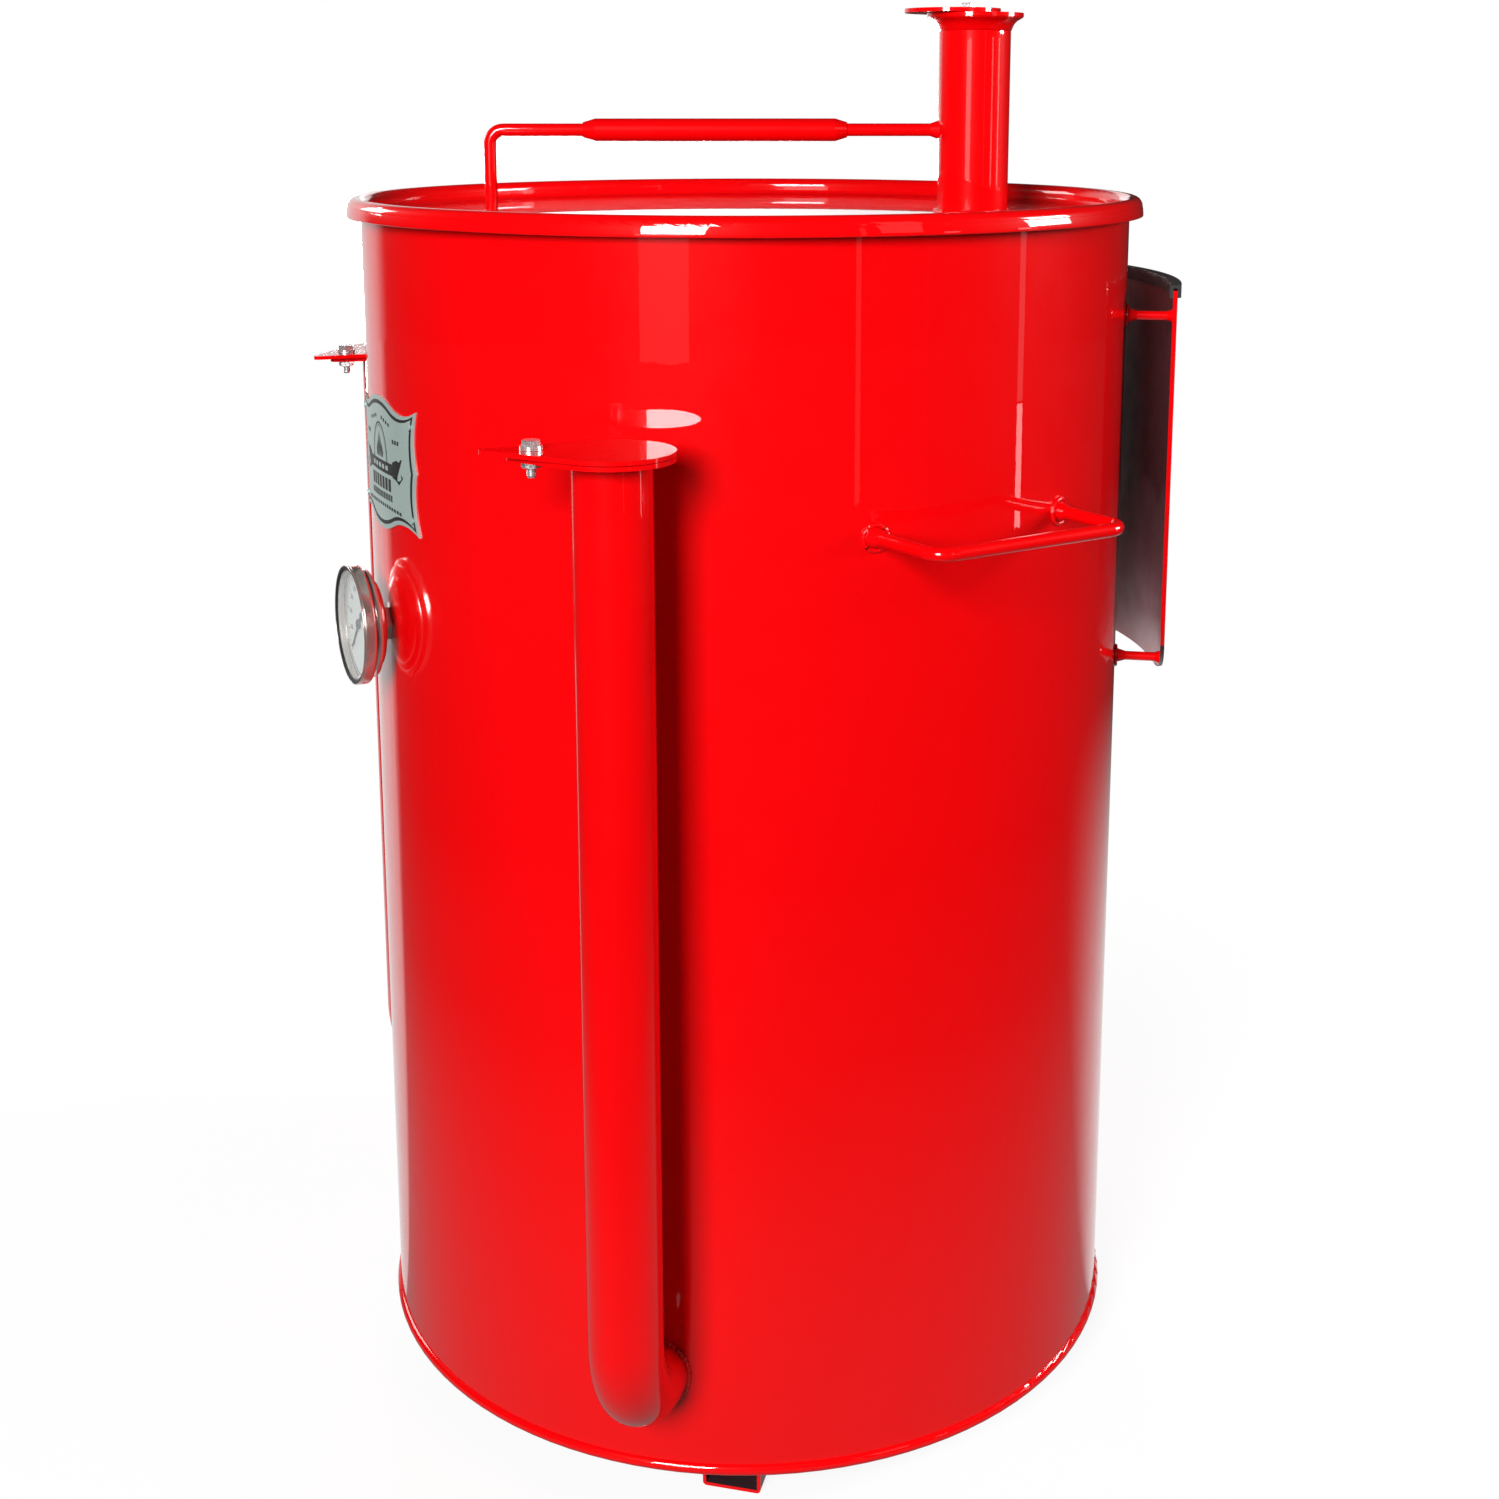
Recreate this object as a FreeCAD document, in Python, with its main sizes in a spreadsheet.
import FreeCAD, Part
import math
import os
import re

import Sketcher

# Drum smoker. Millimetres and degrees, +Z up. The origin is on the drum's axis at the floor, and the front,
# with the badge and the thermometer, faces -Y. A "bearing" is counted from the front about +Z.
# Heights in the sheet are above the drum's lower rim, which stands foot_drop above the floor.

SIZES = {
    # drum
    "foot_drop": 25, "drum_radius": 287.5, "drum_wall": 1.5, "bead_height": 872.1, "bead_tube": 4.3,
    "chime_tube": 4.5, "floor_recess": 13.1, "floor_gauge": 1.5,
    # feet
    "foot_width": 42.5, "foot_height": 38.1, "foot_gauge": 2.5, "foot_length": 75, "foot_corner": 3,
    "foot_reach": 269, "foot_bearing": 64.1, "foot_twist": 12,
    # intake pipes
    "pipe_radius": 25.4, "pipe_gauge": 2, "pipe_reach": 350, "pipe_bearing": 53.3,
    "bend_radius": 65, "inlet_height": 77, "pipe_top": 734.6,
    # teardrop plates
    "plate_gauge": 3, "plate_gap": 0.4, "plate_radius": 39.5, "flange_reach": 64, "flange_tip": 5,
    "damper_reach": 81, "damper_tip": 4, "pivot_reach": 49, "tail_turn": 11,
    # pivot hardware
    "shank_radius": 3.175, "pivot_bore": 3.25, "hex_corner": 6.4, "head_height": 4.4,
    "nut_height": 4.8, "washer_radius": 7.2, "washer_gauge": 1.3, "washer_play": 0.2, "stud_end": 6,
    # side handles
    "rod_radius": 4.75, "side_bearing": 99.3, "side_height": 672, "side_span": 156,
    "side_reach": 343, "side_bend": 13, "weld_radius": 8.5, "weld_length": 9,
    # rear guard
    "guard_radius": 321.5, "guard_gauge": 3, "guard_low": 512, "guard_high": 814, "guard_span": 394,
    "guard_top_corner": 4, "guard_low_corner": 60, "standoff_radius": 3.4, "standoff_turn": 34,
    "standoff_low": 530.6, "standoff_high": 792, "standoff_weld": 7, "standoff_weld_length": 8,
    "trim_gauge": 2.5, "trim_drop": 7,
    # badge
    "badge_width": 136, "badge_tall": 88, "badge_height": 695, "badge_gauge": 1.2, "badge_dip": 5,
    "badge_bump": 6, "rivet_radius": 2.4, "rivet_proud": 1.4,
    # thermometer
    "dial_height": 577, "dial_bearing": 1.5, "probe_radius": 3.2, "probe_depth": 85,
    "spindle_radius": 1.6, "pointer_turn": 135, "nipple_radius": 6.4, "nut_corner": 13.8,
    "outer_nut": 7.3, "case_step_radius": 33, "case_step": 5, "case_radius": 40.5,
    "case_depth": 9.5, "case_wall": 1.2, "bezel_radius": 43.5, "bezel_depth": 6.5,
    "lens_radius": 39, "lens_gauge": 1.5, "face_radius": 38.5, "face_gauge": 0.8,
    # lid
    "rim_tube": 6.5, "rim_lift": 0.4, "rim_groove": 4.8, "lid_gauge": 1.5, "lid_skirt": 285.2,
    "lid_recess": 13.5, "lid_turn": 66.8, "stack_offset": 172, "stack_radius": 26.8,
    "stack_gauge": 2, "stack_top": 1009.3, "cap_radius": 36, "cap_reach": 61,
    "cap_damper_reach": 76, "cap_pivot": 46, "cap_open": 21.5, "grip_height": 926.7,
    "grip_post": 192.7, "grip_bend": 10, "grip_start": 122.5, "grip_length": 199,
    "grip_radius": 8.5, "grip_taper": 9, "grip_weld": 6,
    # inside
    "grate_height": 700, "grate_radius": 270, "grate_rod": 3.5, "grate_bar": 2.5, "grate_pitch": 24,
    "bracket_size": 22, "bracket_gauge": 3, "basket_radius": 190, "basket_low": 62,
    "basket_tall": 190, "basket_gauge": 2, "basket_ring": 188, "basket_pitch": 24, "leg_radius": 6,
    "pan_radius": 215, "pan_depth": 20, "pan_gauge": 1.5,
}

X_AXIS = FreeCAD.Vector(1, 0, 0)
Y_AXIS = FreeCAD.Vector(0, 1, 0)
Z_AXIS = FreeCAD.Vector(0, 0, 1)
UPRIGHT = FreeCAD.Rotation()
OUTWARD = FreeCAD.Rotation(X_AXIS, 90)      # +Z turned to -Y, the way the front faces
OUTWARD_BACK = FreeCAD.Rotation(Z_AXIS, 180).multiply(OUTWARD)
SIDEWAYS = FreeCAD.Rotation(Y_AXIS, 90)     # +Z turned to +X

doc = FreeCAD.newDocument("drum_smoker")
sheet = doc.addObject("Spreadsheet::Sheet", "dims")
for row, (alias, value) in enumerate(SIZES.items(), 1):
    sheet.set(f"A{row}", alias)
    sheet.set(f"B{row}", str(value))
    sheet.setAlias(f"B{row}", alias)
doc.recompute()

parts = []


def size(alias):
    """The sheet's value."""
    return float(getattr(sheet, alias))


def expression(text):
    """A formula of size names, with each name pointed at its cell."""
    def pointed(match):
        word = match.group(0)
        return "dims." + word if word in SIZES else word

    return re.sub(r"[a-z][a-z_]*", pointed, text)


def bind(obj, **formulas):
    """Bind properties to formulas of the sheet's sizes."""
    for name, text in formulas.items():
        obj.setExpression(name, expression(text))
    return obj


def position(obj, x="0", y="0", z="0", rotation=UPRIGHT):
    """Turn an object about its own origin, then move it by formulas."""
    obj.Placement = FreeCAD.Placement(FreeCAD.Vector(), rotation)
    for letter, text in zip("xyz", (x, y, z)):
        obj.setExpression("Placement.Base." + letter, expression(text))
    return obj


def cylinder(name, radius, height, x="0", y="0", z="0", rotation=UPRIGHT, sweep="360"):
    obj = bind(doc.addObject("Part::Cylinder", name), Radius=radius, Height=height, Angle=sweep)
    return position(obj, x, y, z, rotation)


def cone(name, low, high, height, x="0", y="0", z="0", rotation=UPRIGHT):
    obj = bind(doc.addObject("Part::Cone", name), Radius1=low, Radius2=high, Height=height)
    return position(obj, x, y, z, rotation)


def torus(name, ring, tube, z="0"):
    obj = bind(doc.addObject("Part::Torus", name), Radius1=ring, Radius2=tube)
    return position(obj, z=z)


def box(name, length, width, height, x="0", y="0", z="0"):
    obj = bind(doc.addObject("Part::Box", name), Length=length, Width=width, Height=height)
    return position(obj, x, y, z)


def hexagon(name, corner, height, x="0", y="0", z="0", rotation=UPRIGHT):
    obj = bind(doc.addObject("Part::Prism", name), Circumradius=corner, Height=height)
    obj.Polygon = 6
    return position(obj, x, y, z, rotation)


def cut(name, base, tool):
    obj = doc.addObject("Part::Cut", name)
    obj.Base = base
    obj.Tool = tool
    return obj


def fuse(name, *pieces):
    obj = doc.addObject("Part::MultiFuse", name)
    obj.Shapes = list(pieces)
    return obj


def common(name, first, second):
    obj = doc.addObject("Part::MultiCommon", name)
    obj.Shapes = [first, second]
    return obj


def tube(name, outer, inner, height, x="0", y="0", z="0", rotation=UPRIGHT, sweep="360"):
    """A straight tube, or a sector of one, made as one cylinder bored by another."""
    skin = cylinder(name + "_skin", outer, height, x, y, z, rotation, sweep)
    bore = cylinder(name + "_bore", inner, height, x, y, z, rotation)
    return cut(name + "_tube", skin, bore)


def finish(name, obj, place, rotation):
    """Name a finished sub-part and set it in its place."""
    for letter in "xyz":
        obj.setExpression("Placement.Base." + letter, None)
    obj.Label = name
    obj.Placement = FreeCAD.Placement(place, rotation)
    parts.append(obj)


def node(name, obj, bearing=0, x=0, y=0, z=0, turn=0):
    """Finish a sub-part: turn it in place, move it as at the front, then swing it to its bearing."""
    swing = FreeCAD.Rotation(Z_AXIS, bearing)
    finish(name, obj, swing.multVec(FreeCAD.Vector(x, y, z)), FreeCAD.Rotation(Z_AXIS, bearing + turn))


def difference(formula):
    """The value of a difference of sheet sizes, such as 'pipe_radius - pipe_gauge'."""
    first, *rest = [size(word.strip()) for word in formula.split("-")]
    return first - sum(rest)


def new_sketch(body, name, role):
    """A sketch on one of its own body's origin planes."""
    sketch = body.newObject("Sketcher::SketchObject", name)
    plane = next(item for item in body.Origin.OriginFeatures if item.Role == role)
    sketch.AttachmentSupport = (plane, [""])
    sketch.MapMode = "FlatFace"
    return sketch


def drive(sketch, kind, *args, formula):
    """Add a dimension to a sketch, driven by a formula."""
    index = sketch.addConstraint(Sketcher.Constraint(kind, *args))
    sketch.setExpression(f"Constraints[{index}]", expression(formula))


def teardrop(name, radius, reach, tip, gauge, holes):
    """A flat plate: a round end at the origin drawn out along +X to a small rounded tip, with round holes."""
    body = doc.addObject("PartDesign::Body", name)
    sketch = new_sketch(body, name + "_outline", "XY_Plane")
    big, small, span = size(radius), size(tip), size(reach) - size(tip)
    lean = math.acos((big - small) / span)
    tip_centre = FreeCAD.Vector(span, 0, 0)
    around = FreeCAD.Vector(math.cos(lean), math.sin(lean), 0)
    below = FreeCAD.Vector(math.cos(lean), -math.sin(lean), 0)
    end = sketch.addGeometry(
        Part.ArcOfCircle(Part.Circle(FreeCAD.Vector(), Z_AXIS, big), lean, 2 * math.pi - lean))
    nose = sketch.addGeometry(Part.ArcOfCircle(Part.Circle(tip_centre, Z_AXIS, small), -lean, lean))
    upper = sketch.addGeometry(Part.LineSegment(tip_centre + around * small, around * big))
    lower = sketch.addGeometry(Part.LineSegment(below * big, tip_centre + below * small))
    sketch.addConstraint(Sketcher.Constraint("Coincident", end, 3, -1, 1))
    sketch.addConstraint(Sketcher.Constraint("PointOnObject", nose, 3, -1))
    for first, first_end, second, second_end in ((nose, 2, upper, 1), (upper, 2, end, 1),
                                                 (end, 2, lower, 1), (lower, 2, nose, 1)):
        sketch.addConstraint(Sketcher.Constraint("Tangent", first, first_end, second, second_end))
    drive(sketch, "Radius", end, big, formula=radius)
    drive(sketch, "Radius", nose, small, formula=tip)
    drive(sketch, "DistanceX", -1, 1, nose, 3, span, formula=f"{reach} - {tip}")
    for offset, bore in holes:
        place, hole_radius = (size(offset) if offset else 0), difference(bore)
        hole = sketch.addGeometry(Part.Circle(FreeCAD.Vector(place, 0, 0), Z_AXIS, hole_radius))
        if offset:
            sketch.addConstraint(Sketcher.Constraint("PointOnObject", hole, 3, -1))
            drive(sketch, "DistanceX", -1, 1, hole, 3, place, formula=offset)
        else:
            sketch.addConstraint(Sketcher.Constraint("Coincident", hole, 3, -1, 1))
        drive(sketch, "Radius", hole, hole_radius, formula=bore)
    pad = body.newObject("PartDesign::Pad", name + "_pad")
    pad.Profile = sketch
    bind(pad, Length=gauge)
    return body


def quarter(name, ring, tube_radius, x="0", y="0", z="0", rotation=UPRIGHT):
    """A quarter of a torus, for a bend: from +X round to +Y before it is turned."""
    obj = bind(doc.addObject("Part::Torus", name), Radius1=ring, Radius2=tube_radius)
    obj.Angle3 = 90
    return position(obj, x, y, z, rotation)


def corner_left(name, bend, radius, x, z):
    """A bend from a rising leg on the left to a level run on the right, both in the XZ plane."""
    return quarter(name, bend, radius, f"{x} + {bend}", "0", f"{z} - {bend}", OUTWARD_BACK)


def hoop(name, half, low, high, bend, radius):
    """A round rod bent to a U, in the XZ plane: two rising legs and a level run."""
    pieces = [corner_left(name + "_left_bend", bend, radius, f"-{half}", high)]
    pieces.append(quarter(name + "_right_bend", bend, radius, f"{half} - {bend}", "0", f"{high} - {bend}",
                          OUTWARD))
    for label, x in (("left", f"-{half}"), ("right", half)):
        pieces.append(cylinder(f"{name}_{label}_leg", radius, f"({high}) - {bend} - ({low})", x, z=low))
    pieces.append(cylinder(name + "_run", radius, f"2 * ({half} - {bend})", f"{bend} - {half}", z=high,
                           rotation=SIDEWAYS))
    return pieces


def rounded(name, base, chosen):
    """Round the edges of an object: chosen says each edge's radius, or None."""
    doc.recompute()
    fillet = doc.addObject("Part::Fillet", name)
    fillet.Base = base
    radii = [(number, chosen(edge)) for number, edge in enumerate(base.Shape.Edges, 1)]
    fillet.Edges = [(number, radius, radius) for number, radius in radii if radius]
    return fillet


def grid(name, ring, rod, bar, pitch, z):
    """A round grid: a rod ring, parallel bars across it and two bars under them."""
    reach, bar_radius, gap = size(ring) - size(rod), size(bar), size(pitch)
    pieces = [torus(name + "_ring", f"{ring} - {rod}", rod, z)]
    count = int((reach - bar_radius) / gap)
    for number in range(-count, count + 1):
        half = f"sqrt(({ring} - {rod})^2 - ({number} * {pitch})^2)"
        pieces.append(cylinder(f"{name}_bar{number + count}", bar, f"2 * {half}", f"-{half}",
                               f"{number} * {pitch}", f"{z} + {rod} / 2", SIDEWAYS))
    for side in (-1, 1):
        half = f"sqrt(({ring} - {rod})^2 - ({ring} / 2)^2)"
        pieces.append(cylinder(f"{name}_brace{side + 1}", rod, f"2 * {half}", f"{side} * {ring} / 2", half, z,
                               OUTWARD))
    return fuse(name + "_grid", *pieces)


# ---- drum ------------------------------------------------------------------------------------------------

BEAD_RING = "(drum_radius - drum_wall + bead_tube)"
SIDES = (("left", -1), ("right", 1))


def inlet_hole(name, bearing):
    return cylinder(name, "pipe_radius - pipe_gauge", "drum_radius + 10", z="foot_drop + inlet_height",
                    rotation=FreeCAD.Rotation(Z_AXIS, bearing).multiply(OUTWARD))


def drum():
    wall = tube("wall", "drum_radius", "drum_radius - drum_wall", "bead_height - chime_tube",
                z="foot_drop + chime_tube")
    bead = torus("bead", BEAD_RING, "bead_tube", "foot_drop + bead_height")
    chime = torus("chime", "drum_radius - drum_wall", "chime_tube", "foot_drop + chime_tube")
    holes = [inlet_hole("inlet_hole_" + side, sign * size("pipe_bearing")) for side, sign in SIDES]
    holes.append(cylinder("dial_hole", "nipple_radius", "drum_radius + 10", z="foot_drop + dial_height",
                          rotation=FreeCAD.Rotation(Z_AXIS, size("dial_bearing")).multiply(OUTWARD)))
    node("drum_wall", cut("drum_shell", fuse("drum_rolled", wall, bead, chime), fuse("drum_holes", *holes)))
    node("drum_floor", cylinder("floor", "drum_radius - drum_wall", "floor_gauge"),
         z=size("foot_drop") + size("floor_recess"))


def feet():
    bearing = size("foot_bearing")
    twisted = size("foot_twist")
    for side, angle, twist in (("left", -bearing, twisted), ("right", bearing, -twisted), ("rear", 180, 0)):
        bar = box("foot_bar_" + side, "foot_width", "foot_length", "foot_height", "-foot_width / 2")
        soft = rounded("foot_soft_" + side, bar,
                       lambda edge: size("foot_corner") if abs(edge.tangentAt(0).y) > 0.9 else None)
        core = box("foot_core_" + side, "foot_width - 2 * foot_gauge", "foot_length",
                   "foot_height - 2 * foot_gauge", "foot_gauge - foot_width / 2", z="foot_gauge")
        node("foot_" + side, cut("foot_tube_" + side, soft, core), angle, y=-size("foot_reach"), turn=twist)


# ---- intakes ---------------------------------------------------------------------------------------------

def pivot_hardware(prefix, bearing, x, y, z):
    """A bolt through two plates: z is the top of the upper plate, and the nut is under the lower one."""
    seat = "washer_play + 2 * washer_gauge"
    stack = "2 * plate_gauge + plate_gap"
    head = hexagon(prefix + "_head", "hex_corner", "head_height", z=seat)
    shank = cylinder(prefix + "_shank", "shank_radius", f"{seat} + {stack} + nut_height + stud_end",
                     z=f"-({stack} + nut_height + stud_end)")
    node(prefix + "_bolt", fuse(prefix + "_screw", head, shank), bearing, x, y, z)
    washers = [tube(f"{prefix}_washer{level}", "washer_radius", "pivot_bore", "washer_gauge - 0.1",
                    z=f"washer_play + {level} * washer_gauge") for level in (0, 1)]
    node(prefix + "_washers", fuse(prefix + "_washer_pair", *washers), bearing, x, y, z)
    block = hexagon(prefix + "_block", "hex_corner", "nut_height", z=f"-({stack} + nut_height)")
    thread = cylinder(prefix + "_thread", "shank_radius", "nut_height", z=f"-({stack} + nut_height)")
    node(prefix + "_nut", cut(prefix + "_threaded", block, thread), bearing, x, y, z)


def intakes():
    reach, top = size("pipe_reach"), size("foot_drop") + size("pipe_top")
    damper_z = top + size("plate_gauge") + size("plate_gap")
    bore = "pipe_radius - pipe_gauge"
    to_elbow = FreeCAD.Rotation(FreeCAD.Vector(0, -1, 0), FreeCAD.Vector(0, 0, -1), X_AXIS, "XYZ")
    for side, sign in SIDES:
        bearing = sign * size("pipe_bearing")
        tail = 180 + size("tail_turn") if sign > 0 else -size("tail_turn")
        bend_z = "foot_drop + inlet_height + bend_radius"
        pipe = tube("pipe_" + side, "pipe_radius", bore, "pipe_top - inlet_height - bend_radius")
        node("intake_pipe_" + side, pipe, bearing, y=-reach,
             z=size("foot_drop") + size("inlet_height") + size("bend_radius"))
        bends = [quarter(f"bend_{label}_{side}", "bend_radius", radius, y="bend_radius - pipe_reach",
                         z=bend_z, rotation=to_elbow)
                 for label, radius in (("skin", "pipe_radius"), ("core", bore))]
        elbow = cut("elbow_hollow_" + side, *bends)
        inside = cylinder("elbow_end_" + side, "drum_radius", "2 * bend_radius",
                          z="foot_drop + inlet_height - bend_radius")
        node("intake_elbow_" + side, cut("elbow_fit_" + side, elbow, inside), bearing)
        flange = teardrop("flange_" + side, "plate_radius", "flange_reach", "flange_tip", "plate_gauge",
                          [(None, bore), ("pivot_reach", "pivot_bore")])
        node("intake_flange_" + side, flange, bearing, y=-reach, z=top, turn=tail)
        damper = teardrop("damper_" + side, "plate_radius", "damper_reach", "damper_tip", "plate_gauge",
                          [("pivot_reach", "pivot_bore")])
        node("intake_damper_" + side, damper, bearing, y=-reach, z=damper_z, turn=tail)
        lean = math.radians(tail)
        pivot_hardware("intake_pivot_" + side, bearing, size("pivot_reach") * math.cos(lean),
                       size("pivot_reach") * math.sin(lean) - reach, damper_z + size("plate_gauge"))


# ---- handles and guard -----------------------------------------------------------------------------------

def side_handles():
    """Bent-rod carrying handles, welded to the drum at each end."""
    start = "(sqrt(drum_radius^2 - side_span^2 / 4) - 4)"
    level = "foot_drop + side_height"
    for side, sign in SIDES:
        pieces = hoop("side_" + side, "(side_span / 2)", start, "side_reach", "side_bend", "rod_radius")
        pieces += [cone(f"side_weld_{side}{end + 1}", "weld_radius", "rod_radius", "weld_length + 4",
                        f"{end} * side_span / 2", z=start) for end in (-1, 1)]
        handle = position(fuse("side_joined_" + side, *pieces), z=level, rotation=OUTWARD)
        inside = cylinder("side_trim_" + side, "drum_radius", "4 * weld_radius",
                          z=f"{level} - 2 * weld_radius")
        node("side_handle_" + side, cut("side_fit_" + side, handle, inside), sign * size("side_bearing"))


def guard_blank():
    """The guard's flat outline with its rounded corners, padded out through the roll."""
    body = doc.addObject("PartDesign::Body", "guard_blank")
    sketch = new_sketch(body, "guard_outline", "XZ_Plane")
    half = size("guard_span") / 2
    low, high = (size("foot_drop") + size(name) for name in ("guard_low", "guard_high"))
    small, large = size("guard_top_corner"), size("guard_low_corner")
    sides, arcs = [], []
    corners = [(half, high, small), (-half, high, small), (-half, low, large), (half, low, large)]
    for turn, (x, z, radius) in enumerate(corners):
        inward_x, inward_z = -math.copysign(radius, x), -math.copysign(radius, z - (low + high) / 2)
        circle = Part.Circle(FreeCAD.Vector(x + inward_x, z + inward_z, 0), Z_AXIS, radius)
        arc = Part.ArcOfCircle(circle, turn * math.pi / 2, (turn + 1) * math.pi / 2)
        arcs.append(sketch.addGeometry(arc))
    for turn in range(4):
        start, end = (sketch.Geometry[arcs[turn]].EndPoint, sketch.Geometry[arcs[(turn + 1) % 4]].StartPoint)
        sides.append(sketch.addGeometry(Part.LineSegment(start, end)))
    for turn in range(4):
        sketch.addConstraint(Sketcher.Constraint("Tangent", arcs[turn], 2, sides[turn], 1))
        sketch.addConstraint(Sketcher.Constraint("Tangent", sides[turn], 2, arcs[(turn + 1) % 4], 1))
    for number, kind in ((0, "Horizontal"), (1, "Vertical"), (3, "Vertical")):
        sketch.addConstraint(Sketcher.Constraint(kind, sides[number]))
    for number, alias in ((0, "guard_top_corner"), (1, "guard_top_corner"), (2, "guard_low_corner"),
                          (3, "guard_low_corner")):
        drive(sketch, "Radius", arcs[number], corners[number][2], formula=alias)
    drive(sketch, "DistanceX", -1, 1, sides[3], 1, half, formula="guard_span / 2")
    drive(sketch, "DistanceX", sides[1], 1, -1, 1, half, formula="guard_span / 2")
    drive(sketch, "DistanceY", -1, 1, sides[0], 1, high, formula="foot_drop + guard_high")
    drive(sketch, "DistanceY", -1, 1, sides[2], 1, low, formula="foot_drop + guard_low")
    pad = body.newObject("PartDesign::Pad", "guard_pad")
    pad.Profile = sketch
    bind(pad, Length="guard_radius + 20")
    return body


def rear_guard():
    """A curved sheet standing off the back of the drum on four welded rods."""
    roll = tube("guard", "guard_radius + guard_gauge", "guard_radius", "guard_high + foot_drop + 20")
    node("rear_guard", common("guard_rolled", guard_blank(), roll), 180)
    channel = tube("trim", "guard_radius + guard_gauge + trim_gauge", "guard_radius - trim_gauge",
                   "trim_drop + trim_gauge", z="foot_drop + guard_high - trim_drop")
    sheet_slot = tube("trim_slot", "guard_radius + guard_gauge", "guard_radius", "trim_drop",
                      z="foot_drop + guard_high - trim_drop")
    behind = box("trim_behind", "guard_span", "2 * guard_radius", "2 * guard_high", "-guard_span / 2",
                 "-2 * guard_radius")
    node("guard_top_trim", common("trim_fit", cut("trim_channel", channel, sheet_slot), behind), 180)
    for level in ("low", "high"):
        height = f"foot_drop + standoff_{level}"
        for side, sign in SIDES:
            label = f"{level}_{side}"
            rod = cylinder("standoff_rod_" + label, "standoff_radius", "guard_radius - drum_radius + 4",
                           y="4 - drum_radius", z=height, rotation=OUTWARD)
            foot = cone("standoff_foot_" + label, "standoff_weld", "standoff_radius",
                        "standoff_weld_length + 4", y="4 - drum_radius", z=height, rotation=OUTWARD)
            head = cone("standoff_head_" + label, "standoff_radius", "standoff_weld - 2", "4",
                        y="4 - guard_radius", z=height, rotation=OUTWARD)
            space = tube("standoff_space_" + label, "guard_radius", "drum_radius", "4 * standoff_weld",
                         z=f"{height} - 2 * standoff_weld")
            whole = common("standoff_fit_" + label, fuse("standoff_joined_" + label, rod, foot, head), space)
            node("guard_standoff_" + ("upper_" if level == "high" else "lower_") + side, whole,
                 180 - sign * size("standoff_turn"))


# ---- badge and thermometer -------------------------------------------------------------------------------

def badge_outline(half_width, half_height, dip, bump):
    """A plain shield-like label outline in the XZ plane: pointed corners, hollow sides, raised middles."""
    def point(x, z):
        return FreeCAD.Vector(x, 0, z)

    shoulder = half_width * 0.42
    quarter_turn = [(1, 1), (1, -1), (-1, -1), (-1, 1)]
    edges = []
    for sx, sz in quarter_turn:
        corner_point = point(sx * half_width, sz * half_height)
        side_point = point(sx * (half_width - dip / 2), 0)
        side_arc = Part.Arc(side_point, point(sx * (half_width - dip), sz * half_height * 0.45), corner_point)
        edges.append(side_arc.toShape())
        dip_arc = Part.Arc(corner_point, point(sx * half_width * 0.72, sz * (half_height - dip)),
                           point(sx * shoulder, sz * (half_height - dip * 0.4)))
        edges.append(dip_arc.toShape())
    for sz in (1, -1):
        level = sz * (half_height - dip * 0.4)
        edges.append(Part.Arc(point(-shoulder, level), point(0, sz * (half_height + bump - dip * 0.4)),
                              point(shoulder, level)).toShape())
    return Part.Wire(Part.__sortEdges__(edges))


def badge():
    """A thin label plate rolled to the drum's curve, held by four rivets."""
    half_width, half_height = size("badge_width") / 2, size("badge_tall") / 2
    outline = badge_outline(half_width, half_height, size("badge_dip"), size("badge_bump"))
    block = doc.addObject("Part::Feature", "badge_block")
    block.Shape = Part.Face(outline).extrude(FreeCAD.Vector(0, -size("drum_radius") - 20, 0))
    block.Placement.Base = FreeCAD.Vector(0, 0, size("foot_drop") + size("badge_height"))
    shell = tube("badge_shell", "drum_radius + badge_gauge", "drum_radius", "2 * badge_tall",
                 z="foot_drop + badge_height - badge_tall")
    bearing = size("dial_bearing")
    node("badge_plate", common("badge_rolled", block, shell), bearing)
    rivets = []
    for column in (-1, 1):
        swing = math.degrees(math.asin(column * (half_width - 9) / size("drum_radius")))
        aim = FreeCAD.Rotation(Z_AXIS, swing).multiply(OUTWARD)
        for level in (-1, 1):
            rivet_z = f"foot_drop + badge_height + {level} * (badge_tall / 2 - 11)"
            rivets.append(cylinder(f"rivet_pin{column + 1}{level + 1}", "rivet_radius",
                                   "drum_radius + badge_gauge + rivet_proud", z=rivet_z, rotation=aim))
    proud = tube("rivet_space", "drum_radius + badge_gauge + rivet_proud", "drum_radius + badge_gauge",
                 "2 * badge_tall", z="foot_drop + badge_height - badge_tall")
    node("badge_rivets", common("rivet_heads", fuse("rivet_pins", *rivets), proud), bearing)


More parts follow.
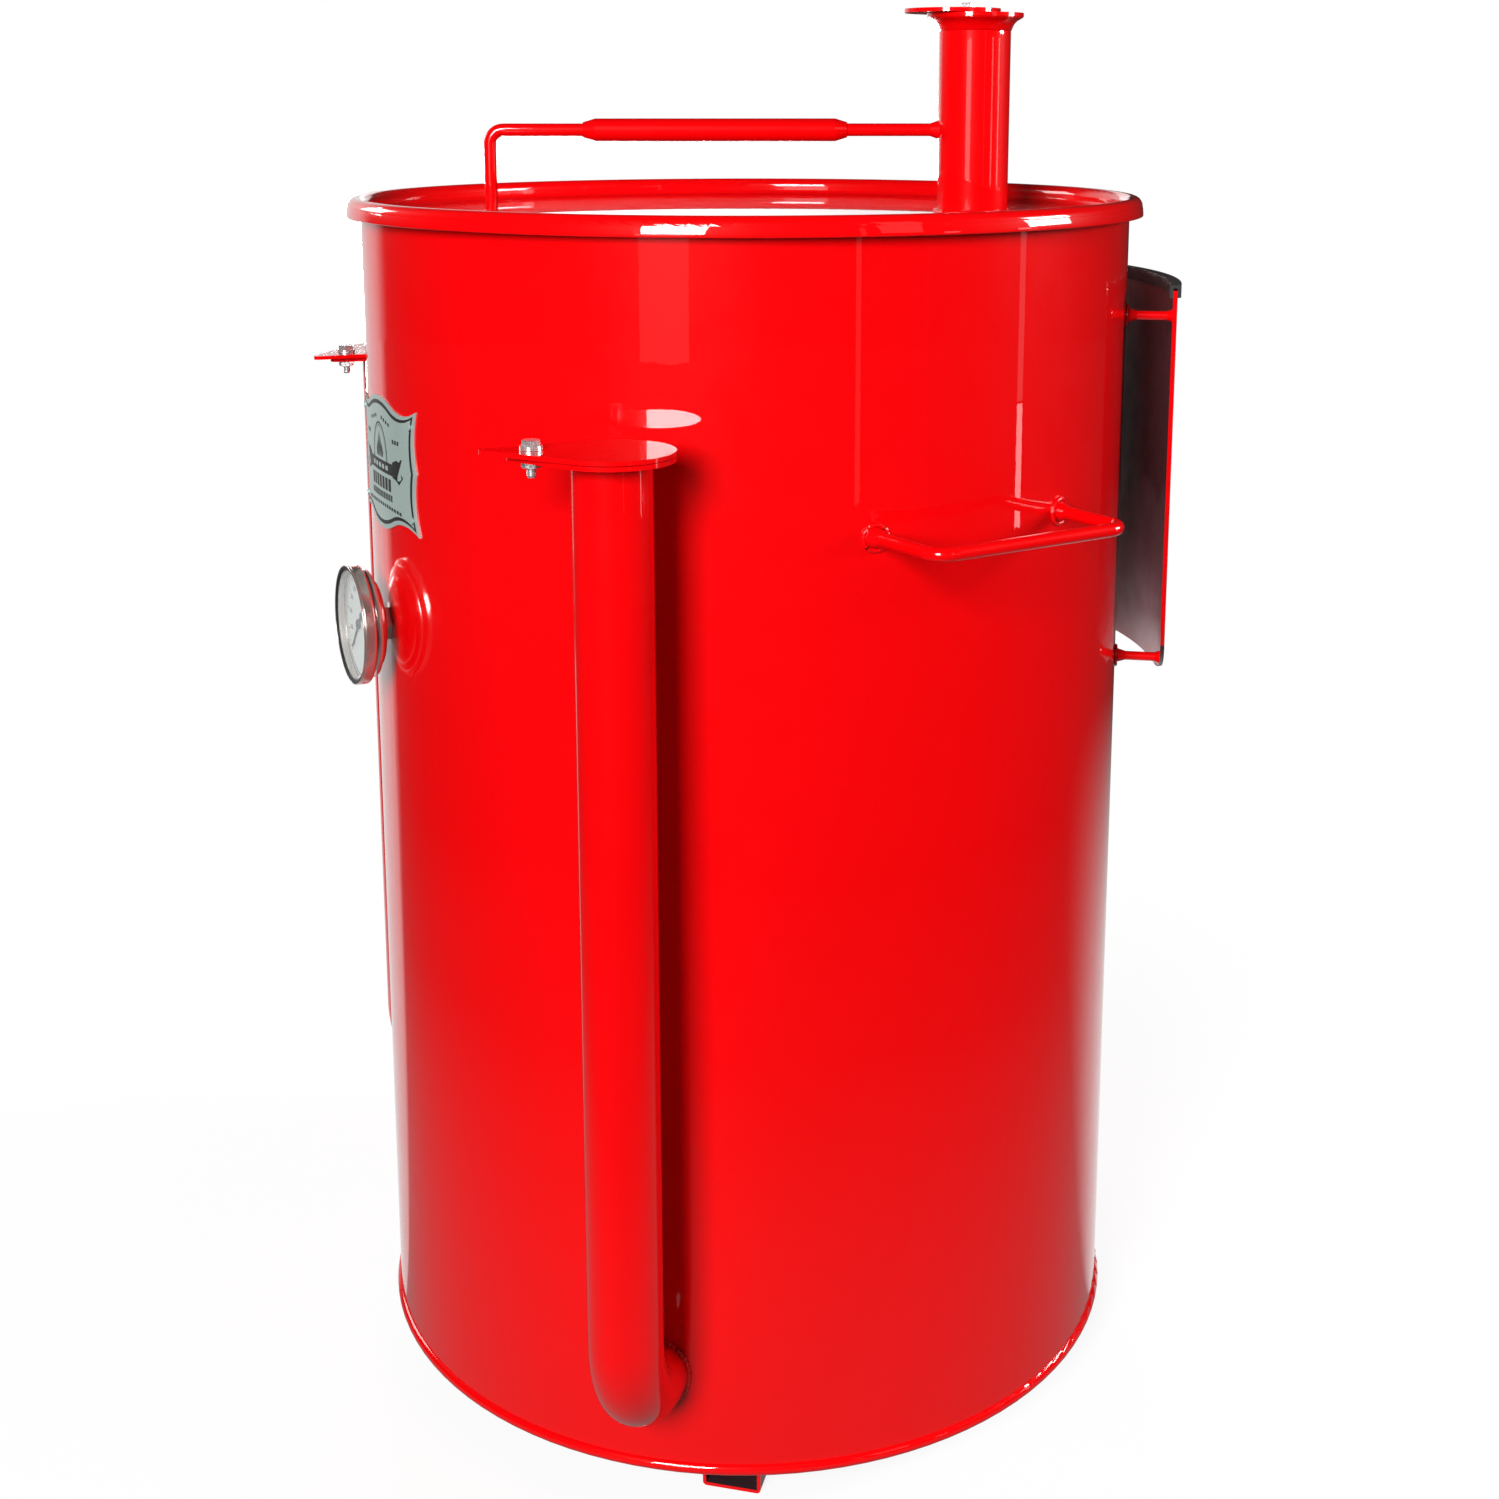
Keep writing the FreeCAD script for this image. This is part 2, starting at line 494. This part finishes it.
def thermometer():
    """A dial thermometer on a threaded nipple through the front wall, built along +Z from the wall out."""
    axis_height = size("foot_drop") + size("dial_height")
    wall = size("drum_radius")

    def fit(name, obj, start, turn=0):
        """Set a piece on the dial's axis, starting some way outside the wall's face."""
        swing = FreeCAD.Rotation(Z_AXIS, size("dial_bearing"))
        aim = swing.multiply(OUTWARD).multiply(FreeCAD.Rotation(Z_AXIS, turn))
        finish(name, obj, swing.multVec(FreeCAD.Vector(0, -wall - start, axis_height)), aim)

    nut, step, depth = size("outer_nut"), size("case_step"), size("case_depth")
    face_start = nut + step + depth - 2
    stem = cylinder("probe", "probe_radius", "probe_depth + outer_nut")
    spindle = cylinder("spindle", "spindle_radius", "probe_depth + outer_nut + case_step + case_depth + 0.5")
    fit("dial_probe", fuse("probe_stem", stem, spindle), -size("probe_depth"))
    fit("dial_nipple", tube("nipple", "nipple_radius", "probe_radius", "outer_nut + 18"), -18)
    for name, start in (("dial_outer_nut", 0), ("dial_lock_nut", -size("drum_wall") - 0.5 - nut)):
        block = hexagon(name + "_block", "nut_corner", "outer_nut")
        thread = cylinder(name + "_thread", "nipple_radius", "outer_nut")
        fit(name, cut(name + "_threaded", block, thread), start)
    back = cylinder("case_back", "case_step_radius", "case_step")
    body = cylinder("case_body", "case_radius", "case_depth", z="case_step")
    hollow = cylinder("case_hollow", "case_radius - case_wall", "case_depth", z="case_step + case_wall")
    eye = cylinder("case_eye", "spindle_radius", "case_step + case_wall")
    fit("dial_case", cut("case_cup", fuse("case_solid", back, body), fuse("case_hollows", hollow, eye)), nut)
    fit("dial_face", tube("face", "face_radius", "spindle_radius", "face_gauge"), face_start)
    arm = box("pointer_arm", "2.4", "44", "0.8", "-1.2", "-12")
    hub = cylinder("pointer_hub", "probe_radius", "1.2")
    eye = cylinder("pointer_eye", "spindle_radius + 0.05", "1.2")
    fit("dial_pointer", cut("pointer", fuse("pointer_solid", arm, hub), eye),
        face_start + size("face_gauge") + 0.5, turn=size("pointer_turn"))
    front = nut + step + depth + size("bezel_depth")
    ring = tube("bezel", "bezel_radius", "case_radius + 0.05", "bezel_depth + 3")
    lip = tube("bezel_lip", "bezel_radius", "lens_radius - 1.5", "1.5", z="bezel_depth + 1.5")
    fit("dial_bezel", fuse("bezel_joined", ring, lip), front - size("bezel_depth") - 3)
    fit("dial_lens", cylinder("lens", "lens_radius + 1", "lens_gauge"), front - 1.5 - size("lens_gauge"))


# ---- lid -------------------------------------------------------------------------------------------------

RIM_Z = "(foot_drop + bead_height + rim_lift)"
PLATE_TOP = "(foot_drop + bead_height + rim_lift + rim_tube - lid_recess)"


def lid():
    """A dished lid whose rolled rim sits over the drum's bead. Its handle runs from a post to the stack."""
    turn = size("lid_turn")
    rim = torus("rim", BEAD_RING, "rim_tube", RIM_Z)
    skirt = tube("skirt", "lid_skirt", "lid_skirt - lid_gauge", f"{RIM_Z} - {PLATE_TOP} + lid_gauge",
                 z=f"{PLATE_TOP} - lid_gauge")
    plate = cylinder("lid_plate", "lid_skirt", "lid_gauge", z=f"{PLATE_TOP} - lid_gauge")
    groove = torus("rim_groove_round", BEAD_RING, "rim_groove", RIM_Z)
    slot = tube("rim_slot", BEAD_RING + " + rim_groove", BEAD_RING + " - rim_groove", "8", z=f"{RIM_Z} - 8")
    hole = cylinder("stack_hole", "stack_radius", "20", "stack_offset", z=f"{PLATE_TOP} - 10")
    lip = tube("rim_lip", BEAD_RING + " + rim_tube", BEAD_RING + " + rim_groove", "rim_tube",
               z=f"{RIM_Z} - rim_tube")
    solid = fuse("lid_solid", rim, lip, skirt, plate)
    pressed = cut("lid_pressed", solid, fuse("lid_hollows", groove, slot, hole))
    node("lid_pan", pressed, turn)

    stack = tube("stack", "stack_radius", "stack_radius - stack_gauge",
                 f"foot_drop + stack_top - {PLATE_TOP} + lid_gauge", "stack_offset",
                 z=f"{PLATE_TOP} - lid_gauge")
    node("exhaust_stack", stack, turn)

    level = "foot_drop + grip_height"
    post = cylinder("grip_leg", "rod_radius", f"{level} - grip_bend - {PLATE_TOP}", "-grip_post", z=PLATE_TOP)
    bend = corner_left("grip_corner", "grip_bend", "rod_radius", "-grip_post", level)
    run = cylinder("grip_run", "rod_radius", "grip_post - grip_bend + stack_offset", "grip_bend - grip_post",
                   z=level, rotation=SIDEWAYS)
    flare = cone("grip_flare", "rod_radius", "weld_radius - 1", "grip_weld + 2",
                 "stack_offset - stack_radius - grip_weld", z=level, rotation=SIDEWAYS)
    around = cylinder("grip_trim", "stack_radius", "4 * weld_radius", "stack_offset",
                      z=f"{level} - 2 * weld_radius")
    node("lid_handle_rod", cut("grip_fit", fuse("grip_joined", post, bend, run, flare), around), turn)

    barrel = cylinder("grip_barrel", "grip_radius", "grip_length - 2 * grip_taper", "grip_taper - grip_start",
                      z=level, rotation=SIDEWAYS)
    near_end = cone("grip_near_end", "rod_radius + 1", "grip_radius", "grip_taper", "-grip_start", z=level,
                    rotation=SIDEWAYS)
    far_end = cone("grip_far_end", "grip_radius", "rod_radius + 1", "grip_taper",
                   "grip_length - grip_taper - grip_start", z=level, rotation=SIDEWAYS)
    bore = cylinder("grip_bore", "rod_radius", "grip_length", "-grip_start", z=level, rotation=SIDEWAYS)
    node("lid_handle_grip", cut("grip_sleeve", fuse("grip_swaged", barrel, near_end, far_end), bore), turn)
    exhaust_cap(turn)


def exhaust_cap(turn):
    """The stack's fixed flange, and the damper plate that swings over it, stored part open."""
    offset, top = size("stack_offset"), size("foot_drop") + size("stack_top")
    bore = "stack_radius - stack_gauge"
    flange = teardrop("cap_flange", "cap_radius", "cap_reach", "flange_tip", "plate_gauge",
                      [(None, bore), ("cap_pivot", "pivot_bore")])
    node("exhaust_flange", flange, turn, offset, z=top, turn=90)
    damper = teardrop("cap_damper", "cap_radius", "cap_damper_reach", "damper_tip", "plate_gauge",
                      [("cap_pivot", "pivot_bore")])
    tail = 90 - size("cap_open")
    lean = math.radians(tail)
    pivot = size("cap_pivot")
    damper_z = top + size("plate_gauge") + size("plate_gap")
    node("exhaust_damper", damper, turn, offset - pivot * math.cos(lean), pivot * (1 - math.sin(lean)),
         damper_z, turn=tail)
    pivot_hardware("exhaust_pivot", turn, offset, pivot, damper_z + size("plate_gauge"))


# ---- inside ----------------------------------------------------------------------------------------------

def inside():
    """The cooking grate on its brackets, and the charcoal basket standing in its ash pan on the floor."""
    level = "foot_drop + grate_height"
    node("cooking_grate", grid("grate", "grate_radius", "grate_rod", "grate_bar", "grate_pitch", level))
    tabs = [box(f"tab{number}", "bracket_size", "bracket_size + 8", "bracket_gauge", "-bracket_size / 2",
                "drum_wall - drum_radius - 8", f"{level} - grate_rod - 0.2 - bracket_gauge")
            for number in range(4)]
    for number, tab in enumerate(tabs):
        within = cylinder(f"tab_within{number}", "drum_radius - drum_wall", "10",
                          z=f"{level} - grate_rod - 5")
        node(f"grate_bracket_{number + 1}", common(f"tab_fit{number}", tab, within), 45 + 90 * number)

    floor = "foot_drop + floor_recess + floor_gauge + 0.2"
    dish = cylinder("pan_dish", "pan_radius", "pan_depth", z=floor)
    hollow = cylinder("pan_hollow", "pan_radius - pan_gauge", "pan_depth", z=f"{floor} + pan_gauge")
    node("ash_pan", cut("pan_pressed", dish, hollow))
    low = "foot_drop + basket_low"
    legs = []
    for number, angle in enumerate((45, 135, 225, 315)):
        across, along = round(math.cos(math.radians(angle)), 6), round(math.sin(math.radians(angle)), 6)
        legs.append(cylinder(f"leg{number}", "leg_radius", f"{low} - ({floor}) - pan_gauge",
                             f"(basket_radius - 20) * {across}", f"(basket_radius - 20) * {along}",
                             f"{floor} + pan_gauge"))
    node("basket_legs", fuse("legs", *legs))
    node("basket_floor", grid("basket", "basket_ring", "grate_rod", "grate_bar", "basket_pitch",
                              f"{low} + grate_rod"))
    node("basket_wall", tube("basket_side", "basket_radius", "basket_radius - basket_gauge", "basket_tall",
                             z=low))
    half = "(basket_radius - basket_gauge - rod_radius)"
    bail = hoop("bail", half, f"{low} + basket_tall - 60", f"{low} + basket_tall + 70", "side_bend",
                "rod_radius")
    node("basket_handle", fuse("bail", *bail))


drum()
feet()
intakes()
side_handles()
rear_guard()
badge()
thermometer()
lid()
inside()
doc.recompute()

for obj in doc.Objects:
    if "Invalid" in obj.State or "Error" in obj.State:
        raise RuntimeError(f"{obj.Label} failed: {obj.State}")
os.makedirs("parts", exist_ok=True)
for obj in parts:
    if obj.Shape.isNull() or not obj.Shape.isValid():
        raise RuntimeError(f"{obj.Label} has no sound shape")
    obj.Shape.exportStep(os.path.join("parts", obj.Label + ".step"))
    print(f"{obj.Label}: {len(obj.Shape.Solids)} solid, {obj.Shape.Volume:.0f} mm3")
